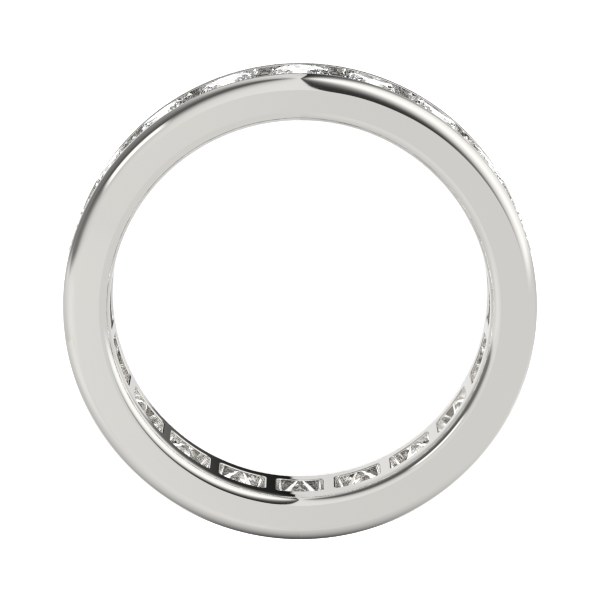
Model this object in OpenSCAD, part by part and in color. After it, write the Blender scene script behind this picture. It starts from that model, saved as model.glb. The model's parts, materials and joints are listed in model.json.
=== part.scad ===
// Full eternity ring: a white metal band with a channel round its outside,
// and a row of round brilliant stones held between the channel's two rails.
// The ring lies on its side: +Z is the finger axis, and z = 0 is the face that it rests on.
// Stone 1 is at +Y, and the others follow it counter-clockwise seen from above.

/* [Finger] */
// Inner diameter of the band
bore_d = 17.35; // [17:0.05:18.2]

/* [Band] */
// Width of the band along the finger
band_w = 4.4; // [4.3:0.05:4.8]
// Thickness of the band from the bore to the tops of the rails
band_t = 2.125; // [2.1:0.005:2.3]
// How far the oval shoulders reach in from the outside
shoulder_depth = 0.7; // [0.5:0.02:0.7]
// How far the oval shoulders reach down the sides of the rails
shoulder_drop = 0.45; // [0.3:0.01:0.6]
// Radius of the rounded edges on the inside
inner_edge_r = 0.47; // [0.3:0.01:0.5]

/* [Stones] */
// Number of stones round the band
stone_count = 20; // [18:1:20]
// Diameter of a stone at its girdle
stone_d = 3.16; // [3.06:0.01:3.16]
// Height of a stone's lowest tip above the bore
culet_lift = 0.225; // [0.15:0.005:0.3]
// Width of the table across its corners, as a share of the diameter
table_share = 0.6; // [0.53:0.01:0.63]
// Height of the crown, as a share of the diameter
crown_share = 0.15; // [0.12:0.005:0.16]
// Thickness of the girdle at its thick places, as a share of the diameter
girdle_share = 0.03; // [0.025:0.001:0.04]
// Depth of the pavilion, as a share of the diameter
pavilion_share = 0.43; // [0.4:0.005:0.44]
// How far the star facets reach from the table to the girdle
star_share = 0.5; // [0.4:0.01:0.6]
// How far the lower halves reach from the girdle to the culet
lower_share = 0.77; // [0.7:0.01:0.85]
// Width of the culet, as a share of the diameter
culet_share = 0.02; // [0.01:0.005:0.04]

/* [Channel] */
// Width of the slot between the two rails
slot_w = 3; // [2.9:0.02:3.02]
// Width of the channel under the seats
channel_w = 2.5; // [2.4:0.02:2.6]
// Thickness of the cross bars between the bore and the channel's floor
bar_t = 0.9; // [0.6:0.05:1]
// Gap between the metal and a stone
stone_gap = 0.03; // [0.02:0.005:0.04]

/* [Windows] */
// Length of a window round the bore
window_len = 2.17; // [1.8:0.01:2.2]
// Width of a window along the finger
window_w = 2.32; // [2:0.02:2.36]
// Radius of a window's corners
window_corner_r = 0.25; // [0.1:0.01:0.4]
// How far the bars between the windows stand back from the bore
bar_relief = 0.02; // [0.01:0.01:0.04]
// Width of the plain strip beside a window that stands back with the bars
relief_margin = 0.05; // [0.04:0.01:0.1]

/* [Hidden] */
$fn = 96;

// Radii of the band, all from the finger axis
bore_r = bore_d / 2;
outer_r = bore_r + band_t;
floor_r = bore_r + bar_t;
mid_z = band_w / 2;
pitch = 360 / stone_count;
overlap = 0.1;

// Sizes of a stone, with its culet at height 0 and its table up
stone_r = stone_d / 2;
table_r = stone_r * table_share;
culet_r = stone_r * culet_share;
crown_h = stone_d * crown_share;
girdle_h = stone_d * girdle_share;
pavilion_h = stone_d * pavilion_share;
girdle_low_z = pavilion_h;
girdle_high_z = girdle_low_z + girdle_h;
table_z = girdle_high_z + crown_h;

// A brilliant has eight main facets above and below. Half a main is 22.5 degrees wide.
MAINS = 8;
HALF = 180 / MAINS;
GIRDLE_STEPS = 4 * MAINS;
STEP = 360 / GIRDLE_STEPS;
crown_slope = crown_h / (stone_r - table_r);
pavilion_slope = pavilion_h / (stone_r - culet_r * cos(HALF));
star_r = table_r * cos(HALF) + star_share * (stone_r - table_r * cos(HALF));
star_z = girdle_high_z + (stone_r - star_r * cos(HALF)) * crown_slope;
lower_r = stone_r * (1 - lower_share);
lower_z = girdle_low_z - (stone_r - lower_r * cos(HALF)) * pavilion_slope;

// Slopes of the halves, which meet the round girdle in shallow scallops
chord_r = stone_r * cos(HALF / 2);
upper_half_slope = (star_z - girdle_high_z) / (chord_r - star_r * cos(HALF / 2));
lower_half_slope = (girdle_low_z - lower_z) / (chord_r - lower_r * cos(HALF / 2));

// Radii where the channel follows the stones
culet_place_r = bore_r + culet_lift;
seat_low_r = culet_place_r + girdle_low_z - stone_gap;
seat_high_r = culet_place_r + girdle_high_z + stone_gap;
groove_w = stone_d + 2 * stone_gap;
bevel_low_r = seat_low_r - (groove_w - channel_w) / 2 * pavilion_slope;
lip_r = seat_high_r + (groove_w - slot_w) / 2 * crown_slope;

function two_digits(n) = n < 10 ? str("0", n) : str(n);
function stone_name(n) = str("stone_", two_digits(n));

// Points at radius r and height z, one for each of the angles
function ring(r, z, angles) = [for (a = angles) [r * cos(a), r * sin(a), z]];

// How far a girdle point stands outside the chord of its half facet
function bulge(i) = stone_r * cos((i % 2 == 0) ? HALF / 2 : 0) - chord_r;

main_angles = [for (k = [0 : MAINS - 1]) (2 * k + 1) * HALF];
star_angles = [for (k = [0 : MAINS - 1]) 2 * k * HALF];
girdle_high = [for (i = [0 : GIRDLE_STEPS - 1])
    [stone_r * cos(i * STEP), stone_r * sin(i * STEP), girdle_high_z - bulge(i) * upper_half_slope]];
girdle_low = [for (i = [0 : GIRDLE_STEPS - 1])
    [stone_r * cos(i * STEP), stone_r * sin(i * STEP), girdle_low_z + bulge(i) * lower_half_slope]];

stone_points = concat(
    ring(table_r, table_z, main_angles),
    ring(star_r, star_z, star_angles),
    girdle_high,
    girdle_low,
    ring(lower_r, lower_z, star_angles),
    ring(culet_r, 0, star_angles)
);

// Places of the points in the list above, by their number round the stone
function table_at(k) = (k + MAINS) % MAINS;
function star_at(k) = MAINS + k % MAINS;
function high_at(i) = 2 * MAINS + i % GIRDLE_STEPS;
function low_at(i) = 2 * MAINS + GIRDLE_STEPS + i % GIRDLE_STEPS;
function lower_at(k) = 2 * MAINS + 2 * GIRDLE_STEPS + k % MAINS;
function culet_at(k) = 3 * MAINS + 2 * GIRDLE_STEPS + k % MAINS;

ALL_MAINS = [0 : MAINS - 1];
table_facet = [[for (k = [MAINS - 1 : -1 : 0]) table_at(k)]];
star_facets = [for (k = ALL_MAINS) [table_at(k), star_at(k), table_at(k - 1)]];
crown_mains = [for (k = ALL_MAINS) [table_at(k), star_at(k + 1), high_at(4 * k + 2), star_at(k)]];
upper_halves = [for (k = ALL_MAINS) each [
    [star_at(k), high_at(4 * k + 2), high_at(4 * k + 1), high_at(4 * k)],
    [star_at(k + 1), high_at(4 * k + 4), high_at(4 * k + 3), high_at(4 * k + 2)]]];
girdle_facets = [for (i = [0 : GIRDLE_STEPS - 1])
    [high_at(i), high_at(i + 1), low_at(i + 1), low_at(i)]];
lower_halves = [for (k = ALL_MAINS) each [
    [lower_at(k), low_at(4 * k), low_at(4 * k + 1), low_at(4 * k + 2)],
    [lower_at(k + 1), low_at(4 * k + 2), low_at(4 * k + 3), low_at(4 * k + 4)]]];
pavilion_mains = [for (k = ALL_MAINS)
    [culet_at(k), lower_at(k), low_at(4 * k + 2), lower_at(k + 1), culet_at(k + 1)]];
culet_facet = [[for (k = ALL_MAINS) culet_at(k)]];

// One round brilliant, with its culet at the origin and its table up
module brilliant() {
    polyhedron(
        points = stone_points,
        faces = concat(table_facet, star_facets, crown_mains, upper_halves,
            girdle_facets, lower_halves, pavilion_mains, culet_facet)
    );
}

// Turns what points up into the place of stone n, with height 0 at radius r
module at_stone(n, r) {
    rotate([0, 0, (n - 1) * pitch])
        translate([0, r, mid_z])
            rotate([-90, 0, 0])
                children();
}

// A corner of the band's section, round or oval, below or above the middle
module section_corner(depth, drop, x, above) {
    translate([x, above ? band_w - drop : drop])
        scale([1, drop / depth])
            circle(r = depth);
}

// The band's outline: radius across, finger axis up
module band_outline() {
    inner_x = bore_r + inner_edge_r;
    outer_x = outer_r - shoulder_depth;
    translate([inner_x, 0]) square([outer_x - inner_x, band_w]);
    translate([bore_r, inner_edge_r]) square([band_t / 2, band_w - 2 * inner_edge_r]);
    translate([bore_r + band_t / 2, shoulder_drop]) square([band_t / 2, band_w - 2 * shoulder_drop]);
    for (above = [false, true]) {
        section_corner(inner_edge_r, inner_edge_r, inner_x, above);
        section_corner(shoulder_depth, shoulder_drop, outer_x, above);
    }
}

// Half of the channel's outline: the floor, the seat's bevel, the groove for the girdle, the rail's lip
function channel_side(side) = [
    [floor_r, mid_z + side * channel_w / 2],
    [bevel_low_r, mid_z + side * channel_w / 2],
    [seat_low_r, mid_z + side * groove_w / 2],
    [seat_high_r, mid_z + side * groove_w / 2],
    [lip_r, mid_z + side * slot_w / 2],
    [outer_r + 1, mid_z + side * slot_w / 2]
];

function reversed(list) = [for (i = [len(list) - 1 : -1 : 0]) list[i]];

module channel_outline() {
    polygon(concat(channel_side(-1), reversed(channel_side(1))));
}

// A window's outline: a rectangle with round corners
module window_outline() {
    corner_x = window_len / 2 - window_corner_r;
    corner_y = window_w / 2 - window_corner_r;
    square([window_len, 2 * corner_y], center = true);
    square([2 * corner_x, window_w], center = true);
    for (x = [-corner_x, corner_x])
        for (y = [-corner_y, corner_y])
            translate([x, y]) circle(r = window_corner_r);
}

// What is taken off the bars, so that a finger meets the bore's two plain hoops
module relief_outline() {
    relief_w = window_w + 2 * relief_margin;
    translate([bore_r - 1, mid_z - relief_w / 2]) square([1 + bar_relief, relief_w]);
}

// The band: rails, channel, seats and cross bars are one casting
module band() {
    color("gainsboro")
        difference() {
            rotate_extrude()
                difference() {
                    band_outline();
                    channel_outline();
                    relief_outline();
                }
            for (n = [1 : stone_count])
                at_stone(n, bore_r - 1)
                    linear_extrude(1 + bar_t + overlap)
                        window_outline();
        }
}

module stone(n) {
    color("aliceblue")
        at_stone(n, culet_place_r)
            brilliant();
}

band();
for (n = [1 : stone_count])
    stone(n);
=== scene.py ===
# A full eternity wedding ring: a polished white metal band with a channel round its outside,
# and a row of round brilliants in the channel. The ring lies on its side on a pale floor.
import json
import math

import bpy
import numpy as np
from mathutils import Matrix, Vector


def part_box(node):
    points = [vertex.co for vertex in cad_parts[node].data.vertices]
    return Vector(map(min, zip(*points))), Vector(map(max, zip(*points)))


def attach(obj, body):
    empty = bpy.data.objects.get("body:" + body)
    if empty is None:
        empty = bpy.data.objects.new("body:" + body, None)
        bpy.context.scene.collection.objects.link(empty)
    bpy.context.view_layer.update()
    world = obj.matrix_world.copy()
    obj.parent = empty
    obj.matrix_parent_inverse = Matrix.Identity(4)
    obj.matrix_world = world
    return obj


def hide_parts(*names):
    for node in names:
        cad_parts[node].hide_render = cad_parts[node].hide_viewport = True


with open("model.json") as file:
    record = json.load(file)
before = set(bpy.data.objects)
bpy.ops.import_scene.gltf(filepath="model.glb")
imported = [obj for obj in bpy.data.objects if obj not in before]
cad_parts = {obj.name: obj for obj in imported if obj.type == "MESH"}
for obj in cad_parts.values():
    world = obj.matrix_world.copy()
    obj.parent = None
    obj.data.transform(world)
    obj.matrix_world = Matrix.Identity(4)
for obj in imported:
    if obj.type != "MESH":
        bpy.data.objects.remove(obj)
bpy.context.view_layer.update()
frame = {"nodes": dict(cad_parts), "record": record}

MM = 0.001

# The ring's sizes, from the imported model
band_low, band_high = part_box("band")
mounts = {mount["name"]: mount for mount in frame["record"]["mounts"]}
stone_nodes = sorted(name for name in frame["nodes"] if name.startswith("stone_"))
OUTER_R = band_high.x
BAND_W = band_high.z - band_low.z
MID_Z = (band_high.z + band_low.z) / 2
BORE_R = mounts["finger_hole"]["dims"]["r_mm"] * MM
STONE_COUNT = len(stone_nodes)
PITCH = 2 * math.pi / STONE_COUNT

# The band's section
SHOULDER_DEPTH = 0.7 * MM
SHOULDER_DROP = 0.45 * MM
INNER_EDGE_R = 0.47 * MM
RAIL_EDGE_R = 0.045 * MM
FLOOR_R = BORE_R + 0.9 * MM
SLOT_HALF = 1.5 * MM
GROOVE_HALF = 1.61 * MM
CHANNEL_HALF = 1.25 * MM
BEVEL_LOW_R = 9.913 * MM
SEAT_LOW_R = 10.229 * MM
SEAT_HIGH_R = 10.384 * MM
LIP_R = 10.466 * MM

# The windows under the stones
WINDOW_LEN = 2.17 * MM
WINDOW_W = 2.32 * MM
WINDOW_CORNER_R = 0.25 * MM
WINDOW_RIM_R = 0.08 * MM

# Steps of the mesh: round one sector, along its sides, and over the curves
SIDE_STEPS = 12
CORNER_STEPS = 4
STRAIGHT_STEPS = 12
SECTOR_STEPS = 2 * CORNER_STEPS + STRAIGHT_STEPS
UPRIGHT_STEPS = SIDE_STEPS - 2 * CORNER_STEPS
SHOULDER_STEPS = 18
INNER_EDGE_STEPS = 10
SMALL_EDGE_STEPS = 5
FACE_STEPS = 2
BORE_WALL_STEPS = 4
CHANNEL_FLOOR_STEPS = 2
WINDOW_WALL_STEPS = 3
WELD = 0.0001 * MM


# Mesh of the band

def sector_angles():
    """Angles of the columns of one sector, from its left border to its right."""
    return np.linspace(-PITCH / 2, PITCH / 2, SECTOR_STEPS + 1)


def turned(radius, angle, z):
    """Points at a radius, an angle from +Y towards +X, and a height."""
    radius, angle, z = np.broadcast_arrays(radius, angle, z)
    return np.stack([radius * np.sin(angle), radius * np.cos(angle), z], axis=-1)


def revolved(section):
    """A patch turned from rows of (radius, z, normal across, normal up)."""
    radius, z, across, up = (column[:, None] for column in np.array(section).T)
    angles = sector_angles()[None, :]
    return turned(radius, angles, z), turned(across, angles, up)


def arc(centre, depth, drop, start, end, steps):
    """Rows of an oval edge of the section. The angles are its normals', in degrees from +r to +z."""
    rows = []
    for angle in np.radians(np.linspace(start, end, steps + 1)):
        across, up = math.cos(angle), math.sin(angle)
        reach = math.hypot(depth * across, drop * up)
        rows.append((centre[0] + depth ** 2 * across / reach, centre[1] + drop ** 2 * up / reach,
                     across, up))
    return rows


def straight(start, end, normal, steps=1):
    """Rows of a straight stretch of the section, with one normal."""
    length = math.hypot(*normal)
    across, up = normal[0] / length, normal[1] / length
    shares = np.linspace(0, 1, steps + 1)
    return [(start[0] + t * (end[0] - start[0]), start[1] + t * (end[1] - start[1]), across, up)
            for t in shares]


def half_section():
    """The stretches of the upper half of the section, as heights above the middle."""
    top = BAND_W / 2
    shoulder_centre = (OUTER_R - SHOULDER_DEPTH, top - SHOULDER_DROP)
    edge_centre = (OUTER_R - RAIL_EDGE_R, SLOT_HALF + RAIL_EDGE_R)
    inner_centre = (BORE_R + INNER_EDGE_R, top - INNER_EDGE_R)
    return [
        arc(inner_centre, INNER_EDGE_R, INNER_EDGE_R, 180, 90, INNER_EDGE_STEPS),
        straight((inner_centre[0], top), (shoulder_centre[0], top), (0, 1), FACE_STEPS),
        arc(shoulder_centre, SHOULDER_DEPTH, SHOULDER_DROP, 90, 0, SHOULDER_STEPS),
        straight((OUTER_R, shoulder_centre[1]), (OUTER_R, edge_centre[1]), (1, 0)),
        arc(edge_centre, RAIL_EDGE_R, RAIL_EDGE_R, 0, -90, SMALL_EDGE_STEPS),
        straight((edge_centre[0], SLOT_HALF), (LIP_R, SLOT_HALF), (0, -1)),
        straight((LIP_R, SLOT_HALF), (SEAT_HIGH_R, GROOVE_HALF),
                 (SLOT_HALF - GROOVE_HALF, SEAT_HIGH_R - LIP_R)),
        straight((SEAT_HIGH_R, GROOVE_HALF), (SEAT_LOW_R, GROOVE_HALF), (0, -1)),
        straight((SEAT_LOW_R, GROOVE_HALF), (BEVEL_LOW_R, CHANNEL_HALF),
                 (GROOVE_HALF - CHANNEL_HALF, BEVEL_LOW_R - SEAT_LOW_R)),
        straight((BEVEL_LOW_R, CHANNEL_HALF), (FLOOR_R, CHANNEL_HALF), (0, -1)),
    ]


def window_outline():
    """Points of a window's outline and the directions out of the window, clockwise from top left."""
    half_len = WINDOW_LEN / 2 - WINDOW_CORNER_R
    half_w = WINDOW_W / 2 - WINDOW_CORNER_R
    corners = [(half_len, half_w, 90), (half_len, -half_w, 0),
               (-half_len, -half_w, -90), (-half_len, half_w, -180)]
    points, outward = [], []
    for number, (x, y, start) in enumerate(corners):
        before = corners[number - 1]
        steps = STRAIGHT_STEPS if number % 2 == 0 else UPRIGHT_STEPS
        facing = np.radians(start)
        normal = np.array([math.cos(facing), math.sin(facing)])
        first = np.array(before[:2]) + WINDOW_CORNER_R * normal
        last = np.array([x, y]) + WINDOW_CORNER_R * normal
        for t in np.linspace(0, 1, steps + 1)[:-1]:
            points.append(first + t * (last - first))
            outward.append(normal)
        for angle in np.radians(np.linspace(start, start - 90, 2 * CORNER_STEPS + 1)[:-1]):
            normal = np.array([math.cos(angle), math.sin(angle)])
            points.append(np.array([x, y]) + WINDOW_CORNER_R * normal)
            outward.append(normal)
    shift = CORNER_STEPS
    return np.roll(points, shift, axis=0), np.roll(outward, shift, axis=0)


def sector_border(half_height):
    """The border of a sector as (angle, height), in step with the points of the outline."""
    side = PITCH / 2
    across = np.linspace(-side, side, SECTOR_STEPS + 1)
    down = np.linspace(half_height, -half_height, SIDE_STEPS + 1)
    top = [(angle, half_height) for angle in across[:-1]]
    right = [(side, height) for height in down[:-1]]
    bottom = [(-angle, -half_height) for angle in across[:-1]]
    left = [(-side, -height) for height in down[:-1]]
    return np.array(top + right + bottom + left)


def closed(rows):
    """The same rows with the first column again at the end."""
    return np.concatenate([rows, rows[:, :1]], axis=1)


def holed_wall(radius, outline, half_height, facing, steps):
    """A cylinder's wall between a window's outline and the border of the sector."""
    inner = np.stack([np.arcsin(outline[:, 0] / radius), outline[:, 1]], axis=-1)
    outer = sector_border(half_height)
    shares = np.linspace(0, 1, steps + 1)[:, None, None]
    places = inner[None] * (1 - shares) + outer[None] * shares
    points = turned(radius, places[..., 0], MID_Z + places[..., 1])
    normals = turned(facing, places[..., 0], 0)
    return closed(points), closed(normals)


def window_rim(outline, outward):
    """The small round edge between the bore and a window's walls."""
    points, normals = [], []
    for angle in np.linspace(0, math.pi / 2, SMALL_EDGE_STEPS + 1):
        places = outline + outward * WINDOW_RIM_R * (1 - math.sin(angle))
        depth = np.sqrt(BORE_R ** 2 - places[:, 0] ** 2) + WINDOW_RIM_R * (1 - math.cos(angle))
        points.append(np.stack([places[:, 0], depth, MID_Z + places[:, 1]], axis=-1))
        side = places[:, 0] / BORE_R
        bore_normal = -np.stack([side, np.sqrt(1 - side ** 2), 0 * side], axis=-1)
        wall_normal = -np.stack([outward[:, 0], 0 * side, outward[:, 1]], axis=-1)
        normal = math.cos(angle) * bore_normal + math.sin(angle) * wall_normal
        normals.append(normal / np.linalg.norm(normal, axis=-1, keepdims=True))
    return closed(np.array(points)), closed(np.array(normals))


def window_wall(outline, outward):
    """The straight walls of a window, from its rim to the channel's floor."""
    low = np.sqrt(BORE_R ** 2 - outline[:, 0] ** 2) + WINDOW_RIM_R
    high = np.sqrt(FLOOR_R ** 2 - outline[:, 0] ** 2)
    depths = low + np.linspace(0, 1, WINDOW_WALL_STEPS + 1)[:, None] * (high - low)
    across = np.broadcast_to(outline[:, 0], depths.shape)
    height = np.broadcast_to(MID_Z + outline[:, 1], depths.shape)
    points = np.stack([across, depths, height], axis=-1)
    normal = -np.stack([outward[:, 0], 0 * outward[:, 0], outward[:, 1]], axis=-1)
    return closed(points), closed(np.broadcast_to(normal, points.shape))


def sector_patches():
    """All the patches of one sector, each as points and normals, and whether its faces turn over."""
    patches = []
    for side in (1, -1):
        for stretch in half_section():
            rows = [(r, MID_Z + side * z, across, side * up) for r, z, across, up in stretch]
            patches.append((*revolved(rows), side < 0))
    outline, outward = window_outline()
    rim_outline = outline + outward * WINDOW_RIM_R
    bore_half = BAND_W / 2 - INNER_EDGE_R
    patches.append((*holed_wall(BORE_R, rim_outline, bore_half, -1, BORE_WALL_STEPS), False))
    patches.append((*holed_wall(FLOOR_R, outline, CHANNEL_HALF, 1, CHANNEL_FLOOR_STEPS), True))
    patches.append((*window_rim(outline, outward), True))
    patches.append((*window_wall(outline, outward), True))
    return patches


def build_band():
    """The whole band as one mesh, with true normals on its curves."""
    corners, points, normals = [], [], []
    count = 0
    patches = sector_patches()
    for sector in range(STONE_COUNT):
        turn = np.array(Matrix.Rotation(sector * PITCH, 3, "Z"))
        for patch_points, patch_normals, over in patches:
            rows, columns = patch_points.shape[:2]
            number = count + np.arange(rows * columns).reshape(rows, columns)
            quad = [number[:-1, :-1], number[:-1, 1:], number[1:, 1:], number[1:, :-1]]
            if over:
                quad.reverse()
            corners.append(np.stack(quad, axis=-1).reshape(-1, 4))
            points.append(patch_points.reshape(-1, 3) @ turn.T)
            normals.append(patch_normals.reshape(-1, 3) @ turn.T)
            count += rows * columns
    corners, points, normals = (np.concatenate(part) for part in (corners, points, normals))
    _, first, welded = np.unique(np.round(points / WELD).astype(np.int64),
                                 axis=0, return_index=True, return_inverse=True)
    mesh = bpy.data.meshes.new("channel_band")
    mesh.from_pydata(points[first].tolist(), [], welded.reshape(-1)[corners].tolist())
    mesh.shade_smooth()
    mesh.normals_split_custom_set(normals[corners.reshape(-1)].tolist())
    band = bpy.data.objects.new("channel_band", mesh)
    bpy.context.scene.collection.objects.link(band)
    return band


# Nodes

def feed(tree, socket, value):
    """Links a socket to another one, or sets it to a number or colour."""
    if isinstance(value, bpy.types.NodeSocket):
        tree.links.new(value, socket)
    else:
        socket.default_value = value


def add_math(tree, operation, *values):
    """A Math node whose inputs are numbers or sockets."""
    node = tree.nodes.new("ShaderNodeMath")
    node.operation = operation
    for socket, value in zip(node.inputs, values):
        feed(tree, socket, value)
    return node.outputs["Value"]


def rise(tree, value, middle, blur):
    """0 below the middle and 1 above it, with a soft step."""
    node = tree.nodes.new("ShaderNodeMapRange")
    node.interpolation_type = "SMOOTHSTEP"
    tree.links.new(value, node.inputs["Value"])
    node.inputs["From Min"].default_value = middle - blur / 2
    node.inputs["From Max"].default_value = middle + blur / 2
    return node.outputs["Result"]


def fall(tree, value, middle, blur):
    """1 below the middle and 0 above it, with a soft step."""
    return add_math(tree, "SUBTRACT", 1, rise(tree, value, middle, blur))


def between(tree, value, span, blurs):
    """1 inside a span and 0 outside, with soft ends."""
    return add_math(tree, "MULTIPLY", rise(tree, value, span[0], blurs[0]),
                    fall(tree, value, span[1], blurs[1]))


def add_mix(tree, share, low, high):
    """A blend of two numbers or sockets."""
    node = tree.nodes.new("ShaderNodeMix")
    for socket, value in zip((node.inputs[0], node.inputs[2], node.inputs[3]), (share, low, high)):
        feed(tree, socket, value)
    return node.outputs[0]


def past(tree, value, start):
    """How far a value is past a start, or 0."""
    return add_math(tree, "MAXIMUM", add_math(tree, "SUBTRACT", value, start), 0)


def short_of(tree, value, end):
    """How far a value is short of an end, or 0."""
    return add_math(tree, "MAXIMUM", add_math(tree, "SUBTRACT", end, value), 0)


def from_axis(tree, x, y):
    """Distance from an axis, such as the finger's or a stone's, by the two parts across it."""
    return add_math(tree, "SQRT", add_math(tree, "MULTIPLY_ADD", x, x, add_math(tree, "MULTIPLY", y, y)))


def split_vector(tree, vector):
    """The three parts of a vector."""
    node = tree.nodes.new("ShaderNodeSeparateXYZ")
    tree.links.new(vector, node.inputs[0])
    return node.outputs


def join_vector(tree, *parts):
    """A vector from three parts."""
    node = tree.nodes.new("ShaderNodeCombineXYZ")
    for part, socket in zip(parts, node.inputs):
        tree.links.new(part, socket)
    return node.outputs["Vector"]


# Materials

METAL_WARM = (0.805, 0.788, 0.750, 1)
METAL_COOL = (0.795, 0.783, 0.754, 1)
METAL_INSIDE = (0.81, 0.80, 0.785, 1)
INSIDE_R = BORE_R + 0.15 * MM
INSIDE_BLUR = 0.1 * MM
TINT_PATCHES = 0.35
POLISH = (0.02, 0.04)
POLISH_PATCHES = 1.6
SATIN = 0.2
SATIN_BLURS = (0.2 * MM, 0.1 * MM)
WHEEL_LINES = 14
WHEEL_LINE_STRETCH = 1.5 * MM
WHEEL_LINE_STRENGTH = 0.15
WHEEL_LINE_DEPTH = 0.00005 * MM
# The stones' colour holds painted fire: cool and warm patches in place of the coloured light that a real
# stone splits
PAINTED_FIRE_COOL = (0.93, 0.965, 1.0, 1)
PAINTED_FIRE_WARM = (1.0, 0.985, 0.955, 1)
PAINTED_FIRE_PATCHES = (1.1, 0.42, 0.58)
STONE_IOR = 2.42
GIRDLE_R = 1.56 * MM
GIRDLE_BLUR = 0.02 * MM
FROST = 0.35
MOTTLE_DETAIL = 3


def new_material(name):
    """An empty material with its output and one Principled shader."""
    material = bpy.data.materials.new(name)
    material.use_nodes = True
    tree = material.node_tree
    tree.nodes.clear()
    output = tree.nodes.new("ShaderNodeOutputMaterial")
    shader = tree.nodes.new("ShaderNodeBsdfPrincipled")
    tree.links.new(shader.outputs["BSDF"], output.inputs["Surface"])
    return material, tree, shader


def mottle_group():
    """A soft, uneven mask over a surface, for finishes that are never quite even."""
    group = bpy.data.node_groups.new("mottle", "ShaderNodeTree")
    group.interface.new_socket("Vector", in_out="INPUT", socket_type="NodeSocketVector")
    group.interface.new_socket("Patches per mm", in_out="INPUT", socket_type="NodeSocketFloat")
    group.interface.new_socket("Low", in_out="INPUT", socket_type="NodeSocketFloat")
    group.interface.new_socket("High", in_out="INPUT", socket_type="NodeSocketFloat")
    group.interface.new_socket("Mask", in_out="OUTPUT", socket_type="NodeSocketFloat")
    entry = group.nodes.new("NodeGroupInput")
    result = group.nodes.new("NodeGroupOutput")
    noise = group.nodes.new("ShaderNodeTexNoise")
    noise.inputs["Detail"].default_value = MOTTLE_DETAIL
    scale = add_math(group, "DIVIDE", entry.outputs["Patches per mm"], MM)
    group.links.new(entry.outputs["Vector"], noise.inputs["Vector"])
    group.links.new(scale, noise.inputs["Scale"])
    spread = group.nodes.new("ShaderNodeMapRange")
    group.links.new(noise.outputs["Fac"], spread.inputs["Value"])
    group.links.new(entry.outputs["Low"], spread.inputs["From Min"])
    group.links.new(entry.outputs["High"], spread.inputs["From Max"])
    group.links.new(spread.outputs["Result"], result.inputs["Mask"])
    return group


def mottle(tree, vector, patches, low=0.35, high=0.65):
    """The mask of the mottle group, with its own values."""
    node = tree.nodes.new("ShaderNodeGroup")
    node.node_tree = MOTTLE_GROUP
    tree.links.new(vector, node.inputs["Vector"])
    node.inputs["Patches per mm"].default_value = patches
    node.inputs["Low"].default_value = low
    node.inputs["High"].default_value = high
    return node.outputs["Mask"]


def blend_colours(tree, share, first, second):
    """A blend of two colours, each fixed or from a socket."""
    node = tree.nodes.new("ShaderNodeMix")
    node.data_type = "RGBA"
    for name, value in (("Factor", share), ("A", first), ("B", second)):
        feed(tree, node.inputs[name], value)
    return node.outputs["Result"]


def object_place(tree):
    """The place on the object, and its angle, distance from the finger axis and height."""
    place = tree.nodes.new("ShaderNodeTexCoord").outputs["Object"]
    x, y, z = split_vector(tree, place)
    return place, add_math(tree, "ARCTAN2", x, y), from_axis(tree, x, y), z


def white_metal():
    """Polished white gold, satin inside the channel where no polishing wheel reaches."""
    material, tree, shader = new_material("white_metal")
    place, angle, away, height = object_place(tree)
    off_middle = add_math(tree, "ABSOLUTE", add_math(tree, "SUBTRACT", height, MID_Z))
    between_rails = fall(tree, off_middle, GROOVE_HALF, INSIDE_BLUR)
    shader.inputs["Metallic"].default_value = 1

    # The plating stays fresh, and so more neutral, in the windows and the channel
    fresh = add_math(tree, "MULTIPLY", between_rails,
                     between(tree, away, (INSIDE_R, SEAT_HIGH_R), (INSIDE_BLUR, INSIDE_BLUR)))
    worn = blend_colours(tree, mottle(tree, place, TINT_PATCHES), METAL_WARM, METAL_COOL)
    tree.links.new(blend_colours(tree, fresh, worn, METAL_INSIDE), shader.inputs["Base Color"])

    # Satin in the channel, and a polish that is a little uneven elsewhere
    channel = add_math(tree, "MULTIPLY", between_rails,
                       between(tree, away, (FLOOR_R, SEAT_HIGH_R), SATIN_BLURS))
    polish = add_mix(tree, mottle(tree, place, POLISH_PATCHES), *POLISH)
    tree.links.new(add_mix(tree, channel, polish, SATIN), shader.inputs["Roughness"])

    # The fine lines that the polishing wheel leaves round the band
    stretched = join_vector(tree, add_math(tree, "MULTIPLY", angle, WHEEL_LINE_STRETCH), away, height)
    bump = tree.nodes.new("ShaderNodeBump")
    bump.inputs["Strength"].default_value = WHEEL_LINE_STRENGTH
    bump.inputs["Distance"].default_value = WHEEL_LINE_DEPTH
    tree.links.new(mottle(tree, stretched, WHEEL_LINES), bump.inputs["Height"])
    tree.links.new(bump.outputs["Normal"], shader.inputs["Normal"])
    return material


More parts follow.
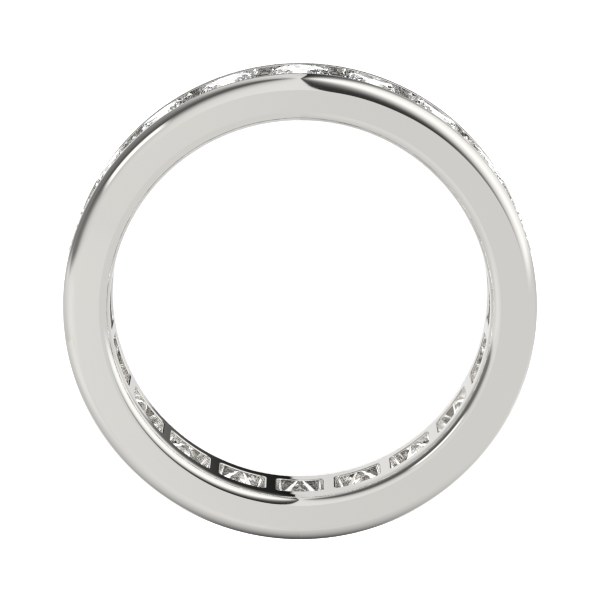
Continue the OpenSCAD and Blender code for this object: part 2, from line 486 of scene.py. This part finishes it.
def clear_stone():
    """A clear stone: painted fire in its colour, polished facets and a frosted girdle."""
    material, tree, shader = new_material("stone")
    place, angle, away, height = object_place(tree)
    # Painted fire: cool and warm patches in the stone's colour stand in for the coloured light that a
    # real stone splits
    painted_fire = blend_colours(tree, mottle(tree, place, *PAINTED_FIRE_PATCHES), PAINTED_FIRE_COOL, PAINTED_FIRE_WARM)
    tree.links.new(painted_fire, shader.inputs["Base Color"])
    shader.inputs["IOR"].default_value = STONE_IOR
    shader.inputs["Transmission Weight"].default_value = 1

    # Distance from the stone's own axis: the angle is folded to that of the nearest stone
    turns = add_math(tree, "DIVIDE", angle, PITCH)
    own_angle = add_math(tree, "MULTIPLY", PITCH,
                         add_math(tree, "SUBTRACT", turns, add_math(tree, "ROUND", turns)))
    across = add_math(tree, "MULTIPLY", away, add_math(tree, "SINE", own_angle))
    up = add_math(tree, "MULTIPLY", away, add_math(tree, "COSINE", own_angle))
    along = add_math(tree, "SUBTRACT", height, MID_Z)
    girdle = add_math(tree, "MULTIPLY",
                      rise(tree, from_axis(tree, across, along), GIRDLE_R, GIRDLE_BLUR),
                      between(tree, up, (SEAT_LOW_R, SEAT_HIGH_R), (GIRDLE_BLUR, GIRDLE_BLUR)))
    tree.links.new(add_math(tree, "MULTIPLY", girdle, FROST), shader.inputs["Roughness"])
    return material


# Studio

GROUND_R = 3.0
GROUND_HOLE_R = 9.5 * MM
GROUND_STEPS = 96
WHITE_SKY = 2.4
FLOOR_TINTS = (0.93, 0.91)
FLOOR_PATCHES = 0.08
FLOOR_ROUGHNESS = 0.7

# What the polish shows of the studio is a dome of cards round the ring. Its pole leans from
# straight above, so that the ring's flat face shows the pole. Azimuths are in degrees from +Y
# towards +X, and poles are in degrees from the dome's pole. A card has its first and last azimuth,
# the blur of those two sides, its first and last pole, their blurs, and its brightness. A later
# card lies on top. BEHIND and NADIR are just past the dome's own ends.
DOME_LEAN = 11.05
POLE_SPAN = 180
RIGHT_LEVEL = 0.775
LEFT_LEVEL = 0.865
SIDES_MEET = (-0.02, 0.09)
BEHIND = 181
NADIR = 200
FAR_CARDS = [
    ("left_haze", (-BEHIND, -100), (1, 30), (55, 125), (110, 40), 0.62),
    ("left_glow", (-108, -86), (24, 8), (22, 56), (24, 30), 0.94),
    ("corner_glow", (-34, 7), (40, 4), (5, 100), (5, 50), 0.93),
]

# Cards low beside the ring, which the bore doesn't show
FOOT_CARDS = [
    ("foot_shade_left", (-BEHIND, -140), (1, 80), (46, NADIR), (92, 1), 0.12),
    ("foot_shade_right", (150, BEHIND), (60, 1), (46, NADIR), (92, 1), 0.12),
    ("low_lamp_left", (-155, -124), (14, 40), (90, NADIR), (26, 1), 1.2),
    ("low_lamp_right", (122, 156), (40, 16), (90, NADIR), (28, 1), 1.2),
    ("foot_lamp_left", (-169, -135), (8, 30), (128, NADIR), (34, 1), 1.2),
    ("foot_lamp_right", (135, 169), (30, 8), (128, NADIR), (34, 1), 1.2),
]
RAIL_CARDS = [
    ("left_low", (-98, -80), (30, 16), (110, NADIR), (80, 1), 0.45),
    ("right_low", (80, 98), (16, 30), (110, NADIR), (80, 1), 0.5),
    ("rail_shade_far", (-74, -36), (12, 20), (116, NADIR), (26, 1), 0.22),
    ("rail_shade_near", (-40, -6), (16, 8), (154, NADIR), (16, 1), 0.45),
]

# The lamp in front of the dark wall, with a thin line beside it
LAMP = ((-60, -38), (7, 6), (37.5, 57), (3, 6), 1.3)
LAMP_LINE = ((-60, -38), (7, 6), (34, 40), (3, 1), 0.66)

# Two walls meet in a corner at azimuth 0, a dark one on the left and a bright one on the right.
# Each starts as the tip of a wedge that opens away from the corner. A wedge has the width of its
# tip, how fast it opens above and below the tip, and the powers of its opening and its edge.
WEDGE_TIP = 76
DARK_WEDGE = (3.0, 0.135, 0.13, 1.5)
BRIGHT_WEDGE = (2.6, 0.033, 0.034, 1.75)
WEDGE_EDGE = 1.4

# A middle or an edge is given with its blur. The dark wall's far end leans out above a pole, by so
# many degrees for each degree, and its far part is a little lighter.
DARK_END = (-87, 8)
DARK_END_LEAN = (68, 0.25)
DARK_FAR = (-70, 30)
DARK_FAR_LOW = (60, 10)
DARK_FAR_GAIN = 0.1

# The bright wall starts after a dark gap. Its width in degrees is a least width, a power of the
# distance above the tip, what it grows to below the tip and how soon, and a part that only widens
# it near the pole.
GAP_WIDTH = 0.2
GAP_ABOVE = (1.45, 0.0076)
GAP_GROWTH = (2.6, 45)
GAP_AT_POLE = (28, 3, 1.1)
GAP_LEVEL = 0.035
GAP_LEVEL_BELOW = 0.008
GAP_EDGE = (0, 0.5)
BRIGHT_END = (86, 12)
BRIGHT_TOP = (5.2, 4)
BRIGHT_TOP_SLOPE = (25, -0.5)

# Brightness of the two walls as (pole, brightness). Beside the ring they end in one way, and in
# what the bore shows they end in another.
DARK_WALL = [(20, 0.8), (34, 0.66), (50, 0.28), (66, 0.1)]
DARK_BESIDE = [(92, 0.12), (112, 0.19), (150, 0.5)]
DARK_BELOW = [(86, 0.18), (99, 0.32), (112, 0.45), (150, 0.6)]
BRIGHT_WALL = [(16, 0.07), (24, 0.24), (36, 0.8), (54, 1.2), (68, 1.28), (98, 1.08)]
BRIGHT_BESIDE = [(130, 1.0), (160, 0.75)]
BRIGHT_BELOW = [(111, 1.1), (123, 0.95), (135, 0.66), (147, 0.46), (159, 0.26), (171, 0.04)]
BRIGHTEST = 1.5

# The stones show the same cards with more contrast, and with more light from behind the ring
SPARKLE_POWER = 2.2
SPARKLE_GAIN = 1.7
BACK_GAIN = 2.0
BACK_EDGE = (-0.4, 0.3)

# Outside the ring the floor stands for the lower half of the dome, seen from the shoulder
SHOULDER_PLACE = (10.5 * MM, 3.9 * MM)

# Close beside the ring the floor has strips of painted light and shade, which it shows only to the
# polish and which the outside wall mirrors at these heights in millimetres: a thin dark line of
# painted shade at its foot, the painted light on the stones' tables, and the painted shade on the
# rails. On the right the lower part of the tables' light is grey, over a span given as the sine
# of the angle from +Y. The strips are as wide as the wall's reach on the floor for each
# millimetre of height, which is largest towards +Y and nothing on the side that faces away.
WALL_REACH = (0.1967, -0.0588)
LEAST_REACH = 0.002
WALL_FACES = (0.012, 0.02)
RAIL_HEIGHT = (3.95, 0.3)
RAIL_SHADE = 0.3
TABLE_HEIGHTS = ((0.75, 3.5), (0.25, 0.3))
TABLE_GLOW = 1.5
TABLE_GREY = 0.2
GREY_SIDE = ((0.25, 0.8), (0.3, 0.1))
GREY_HEIGHT = (2.5, 0.4)
FOOT_LINE_HEIGHT = (0.75, 0.25)
FOOT_LINE = 0.12

# Past this pole, where it is seen through the bore, the bright wall ends at two straight lines
# instead. The left one lies at an x of the direction, and the right one is given by its slope
# and its y at x = 0.
BELOW = (100, 20)
LEFT_LINE = (0.018, 0.012)
RIGHT_LINE = (0.52, -0.312)
RIGHT_LINE_EDGE = (-0.015, 0.04)

# A curved flag beside the ring's foot, which only the polish shows
FLAG_R = 13 * MM
FLAG_ENDS = (118, 260)
FLAG_TOP = 8.2 * MM
FLAG_STEPS = 52


def wedge(tree, along, pole, tip_width, opening_above, opening_below, power):
    """0 before a wedge's edge and 1 well inside it."""
    from_tip = add_math(tree, "SUBTRACT", pole, WEDGE_TIP)
    opening = add_mix(tree, rise(tree, from_tip, 0, 1), opening_above, opening_below)
    reach = add_math(tree, "POWER", add_math(tree, "ABSOLUTE", from_tip), power)
    width = add_math(tree, "MULTIPLY_ADD", reach, opening, tip_width)
    share = add_math(tree, "DIVIDE", add_math(tree, "MAXIMUM", along, 0), width)
    fade = add_math(tree, "MULTIPLY", add_math(tree, "POWER", share, WEDGE_EDGE), -1)
    return add_math(tree, "SUBTRACT", 1, add_math(tree, "EXPONENT", fade))


def graded(tree, pole, stops):
    """Brightness that changes with the pole."""
    ramp = tree.nodes.new("ShaderNodeValToRGB")
    tree.links.new(add_math(tree, "DIVIDE", pole, POLE_SPAN), ramp.inputs["Fac"])
    elements = ramp.color_ramp.elements
    while len(elements) < len(stops):
        elements.new(position=0.5)
    for element, (place, brightness) in zip(elements, stops):
        element.position = place / POLE_SPAN
        element.color = (*[brightness / BRIGHTEST] * 3, 1)
    return add_math(tree, "MULTIPLY", ramp.outputs["Color"], BRIGHTEST)


def card_mask(tree, azimuth, pole, span, blurs, reach, reach_blurs):
    """1 on a card and 0 beside it."""
    return add_math(tree, "MULTIPLY", between(tree, azimuth, span, blurs),
                    between(tree, pole, reach, reach_blurs))


def graded_twice(tree, pole, above, beside, below, near_foot):
    """Brightness by the pole, with one end beside the ring and another in what the bore shows."""
    return add_mix(tree, near_foot, graded(tree, pole, above + below),
                   graded(tree, pole, above + beside))


def dark_wall(tree, azimuth, pole, near_foot, level):
    """The wall on the left, and its lamp."""
    lean_start, lean = DARK_END_LEAN
    lean = add_math(tree, "MULTIPLY", short_of(tree, pole, lean_start), lean)
    inside = rise(tree, add_math(tree, "SUBTRACT", azimuth, lean), *DARK_END)
    opening = wedge(tree, add_math(tree, "MULTIPLY", azimuth, -1), pole, *DARK_WEDGE)
    far = add_math(tree, "MULTIPLY", fall(tree, azimuth, *DARK_FAR), rise(tree, pole, *DARK_FAR_LOW))
    core = graded_twice(tree, pole, DARK_WALL, DARK_BESIDE, DARK_BELOW, near_foot)
    core = add_math(tree, "MULTIPLY_ADD", far, DARK_FAR_GAIN, core)
    level = add_mix(tree, add_math(tree, "MULTIPLY", inside, opening), level, core)
    for *places, brightness in (LAMP_LINE, LAMP):
        level = add_mix(tree, card_mask(tree, azimuth, pole, *places), level, brightness)
    return level


def gap_width(tree, pole):
    """Width of the dark gap before the bright wall."""
    power, opening = GAP_ABOVE
    growth, scale = GAP_GROWTH
    reach, least_pole, allowance = GAP_AT_POLE
    width = add_math(tree, "POWER", short_of(tree, pole, WEDGE_TIP), power)
    width = add_math(tree, "MULTIPLY_ADD", width, opening, GAP_WIDTH)
    left = add_math(tree, "EXPONENT", add_math(tree, "DIVIDE", past(tree, pole, WEDGE_TIP), -scale))
    grown = add_math(tree, "MULTIPLY", add_math(tree, "SUBTRACT", 1, left), growth)
    at_pole = add_math(tree, "DIVIDE", reach, add_math(tree, "MAXIMUM", pole, least_pole))
    width = add_math(tree, "ADD", width, grown)
    return add_math(tree, "ADD", width, past(tree, at_pole, allowance))


def bright_wall(tree, azimuth, pole, x, y, near_foot, level):
    """The wall on the right, with a dark gap along its sides."""
    along = add_math(tree, "SUBTRACT", azimuth, gap_width(tree, pole))
    opening = wedge(tree, along, pole, *BRIGHT_WEDGE)
    core = graded_twice(tree, pole, BRIGHT_WALL, BRIGHT_BESIDE, BRIGHT_BELOW, near_foot)
    in_bore = add_math(tree, "MULTIPLY", rise(tree, pole, *BELOW),
                       add_math(tree, "SUBTRACT", 1, near_foot))
    wall = add_mix(tree, opening, add_mix(tree, in_bore, GAP_LEVEL, GAP_LEVEL_BELOW), core)
    slope_start, slope = BRIGHT_TOP_SLOPE
    sloped = add_math(tree, "MULTIPLY_ADD", past(tree, azimuth, slope_start), slope, pole)
    line = add_math(tree, "MINIMUM", add_math(tree, "MULTIPLY_ADD", x, *RIGHT_LINE), 0)
    lines = add_math(tree, "MULTIPLY", rise(tree, x, *LEFT_LINE),
                     rise(tree, add_math(tree, "SUBTRACT", y, line), *RIGHT_LINE_EDGE))
    end = add_mix(tree, in_bore, fall(tree, azimuth, *BRIGHT_END), lines)
    inside = add_math(tree, "MULTIPLY", rise(tree, along, *GAP_EDGE), end)
    inside = add_math(tree, "MULTIPLY", inside, rise(tree, sloped, *BRIGHT_TOP))
    return add_mix(tree, inside, level, wall)


def studio_cards():
    """A group that takes a direction and gives the brightness that lies that way."""
    group = bpy.data.node_groups.new("studio_cards", "ShaderNodeTree")
    group.interface.new_socket("Direction", in_out="INPUT", socket_type="NodeSocketVector")
    group.interface.new_socket("Near Foot", in_out="INPUT", socket_type="NodeSocketFloat")
    group.interface.new_socket("Brightness", in_out="OUTPUT", socket_type="NodeSocketFloat")
    entry = group.nodes.new("NodeGroupInput")
    result = group.nodes.new("NodeGroupOutput")
    lean = group.nodes.new("ShaderNodeVectorRotate")
    lean.rotation_type = "X_AXIS"
    lean.inputs["Angle"].default_value = -math.radians(DOME_LEAN)
    group.links.new(entry.outputs["Direction"], lean.inputs["Vector"])
    unit = group.nodes.new("ShaderNodeVectorMath")
    unit.operation = "NORMALIZE"
    group.links.new(lean.outputs["Vector"], unit.inputs[0])
    x, y, z = split_vector(group, unit.outputs["Vector"])
    azimuth = add_math(group, "DEGREES", add_math(group, "ARCTAN2", x, y))
    pole = add_math(group, "DEGREES", add_math(group, "ARCCOSINE", z))
    level = add_mix(group, fall(group, x, *SIDES_MEET), RIGHT_LEVEL, LEFT_LEVEL)
    for _, *places, brightness in FAR_CARDS:
        level = add_mix(group, card_mask(group, azimuth, pole, *places), level, brightness)
    for _, *places, brightness in FOOT_CARDS + RAIL_CARDS:
        mask = card_mask(group, azimuth, pole, *places)
        mask = add_math(group, "MULTIPLY", mask, entry.outputs["Near Foot"])
        level = add_mix(group, mask, level, brightness)
    level = dark_wall(group, azimuth, pole, entry.outputs["Near Foot"], level)
    level = bright_wall(group, azimuth, pole, x, y, entry.outputs["Near Foot"], level)
    group.links.new(level, result.inputs["Brightness"])
    return group


def cards_seen(tree, direction, near_foot):
    """Brightness of the cards in a direction, with those low beside the ring (1) or without (0)."""
    node = tree.nodes.new("ShaderNodeGroup")
    node.node_tree = CARDS_GROUP
    tree.links.new(direction, node.inputs["Direction"])
    node.inputs["Near Foot"].default_value = near_foot
    return node.outputs["Brightness"]


def polished_ray(tree):
    """1 for light that leaves a polished face or passes through a stone."""
    path = tree.nodes.new("ShaderNodeLightPath")
    return add_math(tree, "MAXIMUM", path.outputs["Is Glossy Ray"], path.outputs["Is Transmission Ray"])


def sparkle(tree, level, gain=SPARKLE_GAIN):
    """The same brightness in the metal, and more contrast in the stones."""
    path = tree.nodes.new("ShaderNodeLightPath")
    steep = add_math(tree, "MULTIPLY", add_math(tree, "POWER", level, SPARKLE_POWER), gain)
    inside = add_math(tree, "MINIMUM", path.outputs["Transmission Depth"], 1)
    return add_mix(tree, inside, level, steep)


def world_place(tree):
    """The place in the scene, and its distance from the finger axis."""
    x, y, z = split_vector(tree, tree.nodes.new("ShaderNodeNewGeometry").outputs["Position"])
    return x, y, z, from_axis(tree, x, y)


def seen_from_shoulder(tree):
    """The cards that lie the way from the ring's shoulder to this place."""
    shoulder_r, shoulder_z = SHOULDER_PLACE
    x, y, z, away = world_place(tree)
    share = add_math(tree, "DIVIDE", add_math(tree, "SUBTRACT", away, shoulder_r), away)
    way = join_vector(tree, add_math(tree, "MULTIPLY", x, share), add_math(tree, "MULTIPLY", y, share),
                      add_math(tree, "SUBTRACT", z, shoulder_z))
    return cards_seen(tree, way, 1)


def floor_seen(tree):
    """What the polish shows in the place of the floor outside the ring."""
    x, y, _, away = world_place(tree)
    reach = add_math(tree, "MULTIPLY_ADD", add_math(tree, "DIVIDE", y, away), *WALL_REACH)
    beside = add_math(tree, "SUBTRACT", add_math(tree, "DIVIDE", away, MM), OUTER_R / MM)
    height = add_math(tree, "DIVIDE", beside, add_math(tree, "MAXIMUM", reach, LEAST_REACH))
    faces = rise(tree, reach, *WALL_FACES)
    grey = add_math(tree, "MULTIPLY", fall(tree, height, *GREY_HEIGHT),
                    between(tree, add_math(tree, "DIVIDE", x, away), *GREY_SIDE))
    strips = [
        (fall(tree, height, *RAIL_HEIGHT), RAIL_SHADE),
        (between(tree, height, *TABLE_HEIGHTS), add_mix(tree, grey, TABLE_GLOW, TABLE_GREY)),
        (fall(tree, height, *FOOT_LINE_HEIGHT), FOOT_LINE),
    ]
    level = seen_from_shoulder(tree)
    for mask, brightness in strips:
        level = add_mix(tree, add_math(tree, "MULTIPLY", faces, mask), level, brightness)
    return sparkle(tree, level)


def flat_disc(name, rings):
    """A flat disc on the ground, or one with a hole, made of rings of points."""
    angles = np.linspace(0, 2 * math.pi, GROUND_STEPS, endpoint=False)
    points = np.concatenate([turned(radius, angles, 0.0) for radius in rings])
    if len(rings) == 1:
        faces = [tuple(reversed(range(GROUND_STEPS)))]
    else:
        after = [(k + 1) % GROUND_STEPS for k in range(GROUND_STEPS)]
        faces = [(k, GROUND_STEPS + k, GROUND_STEPS + after[k], after[k]) for k in range(GROUND_STEPS)]
    mesh = bpy.data.meshes.new(name)
    mesh.from_pydata(points.tolist(), [], faces)
    disc = bpy.data.objects.new(name, mesh)
    bpy.context.scene.collection.objects.link(disc)
    return disc


def pale_floor():
    """The floor under the ring. The polish looks past the part of it that lies inside the bore."""
    material, tree, shader = new_material("pale_floor")
    shader.inputs["Roughness"].default_value = FLOOR_ROUGHNESS
    shader.inputs["Specular IOR Level"].default_value = 0
    shader.inputs["Emission Strength"].default_value = 1
    polished = polished_ray(tree)
    pale = add_mix(tree, mottle(tree, object_place(tree)[0], FLOOR_PATCHES), *FLOOR_TINTS)
    # For light that leaves a polished face or passes through a stone, the floor is black and glows
    # instead: painted light and shade from the dome's lower half and the strips beside the ring
    tree.links.new(add_mix(tree, polished, pale, 0.0), shader.inputs["Base Color"])
    seen = add_math(tree, "MULTIPLY", polished, floor_seen(tree))
    tree.links.new(seen, shader.inputs["Emission Color"])
    outside = flat_disc("floor", (GROUND_HOLE_R, GROUND_R))
    inside = flat_disc("floor_inside", (GROUND_HOLE_R,))
    inside.visible_glossy = False
    inside.visible_transmission = False
    for disc in (outside, inside):
        disc.data.materials.append(material)


def foot_flag():
    """A curved flag close to the foot of the ring. It darkens the shoulder there, and nothing else."""
    angles = np.radians(np.linspace(*FLAG_ENDS, FLAG_STEPS + 1))
    low = turned(FLAG_R, angles, 0.0)
    high = turned(FLAG_R, angles, FLAG_TOP)
    count = len(angles)
    faces = [(k, k + 1, count + k + 1, count + k) for k in range(count - 1)]
    mesh = bpy.data.meshes.new("foot_flag")
    mesh.from_pydata(np.concatenate([low, high]).tolist(), [], faces)
    flag = bpy.data.objects.new("foot_flag", mesh)
    bpy.context.scene.collection.objects.link(flag)
    material, tree, shader = new_material("foot_flag")
    shader.inputs["Base Color"].default_value = (0, 0, 0, 1)
    shader.inputs["Specular IOR Level"].default_value = 0
    shader.inputs["Emission Strength"].default_value = 1
    tree.links.new(sparkle(tree, seen_from_shoulder(tree)), shader.inputs["Emission Color"])
    mesh.materials.append(material)
    flag.visible_camera = False
    flag.visible_diffuse = False
    flag.visible_transmission = False
    flag.visible_shadow = False


def studio_sky():
    """White light from all round, and the cards that the polish shows."""
    world = bpy.data.worlds.new("studio")
    bpy.context.scene.world = world
    world.use_nodes = True
    tree = world.node_tree
    tree.nodes.clear()
    output = tree.nodes.new("ShaderNodeOutputWorld")
    sky = tree.nodes.new("ShaderNodeBackground")
    sky.inputs["Strength"].default_value = 1
    tree.links.new(sky.outputs["Background"], output.inputs["Surface"])
    way = tree.nodes.new("ShaderNodeTexCoord").outputs["Generated"]
    _, y, _ = split_vector(tree, way)
    gain = add_math(tree, "MULTIPLY_ADD", fall(tree, y, *BACK_EDGE), BACK_GAIN, SPARKLE_GAIN)
    cards = sparkle(tree, cards_seen(tree, way, 0), gain)
    level = add_mix(tree, polished_ray(tree), WHITE_SKY, cards)
    tree.links.new(level, sky.inputs["Color"])


# Camera

CAMERA_PLACE = Vector((0, 0.03623, 0.18774))
CAMERA_AIM = Vector((0, 0.000075, 0.0022))
SENSOR_WIDTH = 36
LENS = 246.86
CLIP = (0.01, 20)


def camera():
    """The camera at the photograph's angle to the ring."""
    data = bpy.data.cameras.new("camera")
    data.sensor_width = SENSOR_WIDTH
    data.lens = LENS
    data.clip_start, data.clip_end = CLIP
    eye = bpy.data.objects.new("camera", data)
    bpy.context.scene.collection.objects.link(eye)
    back = (CAMERA_PLACE - CAMERA_AIM).normalized()
    right = Vector((1, 0, 0))
    up = back.cross(right)
    turn = Matrix((right, up, back)).transposed().to_4x4()
    eye.matrix_world = Matrix.Translation(CAMERA_PLACE) @ turn
    bpy.context.scene.camera = eye


camera()
MOTTLE_GROUP = mottle_group()
metal = white_metal()
glass = clear_stone()
band = build_band()
band.data.materials.append(metal)
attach(band, "root")
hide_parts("band")
for name in stone_nodes:
    stone = frame["nodes"][name]
    stone.material_slots[0].material = glass
CARDS_GROUP = studio_cards()
pale_floor()
foot_flag()
studio_sky()

# A sharp picture, and enough bounces for the stones
SHARPNESS = 1.2
BOUNCES = 14
BOUNCES_OF_A_KIND = 10

scene = bpy.context.scene
scene.view_settings.view_transform = "Standard"
scene.cycles.filter_width = SHARPNESS
scene.cycles.max_bounces = BOUNCES
scene.cycles.transmission_bounces = BOUNCES_OF_A_KIND
scene.cycles.glossy_bounces = BOUNCES_OF_A_KIND
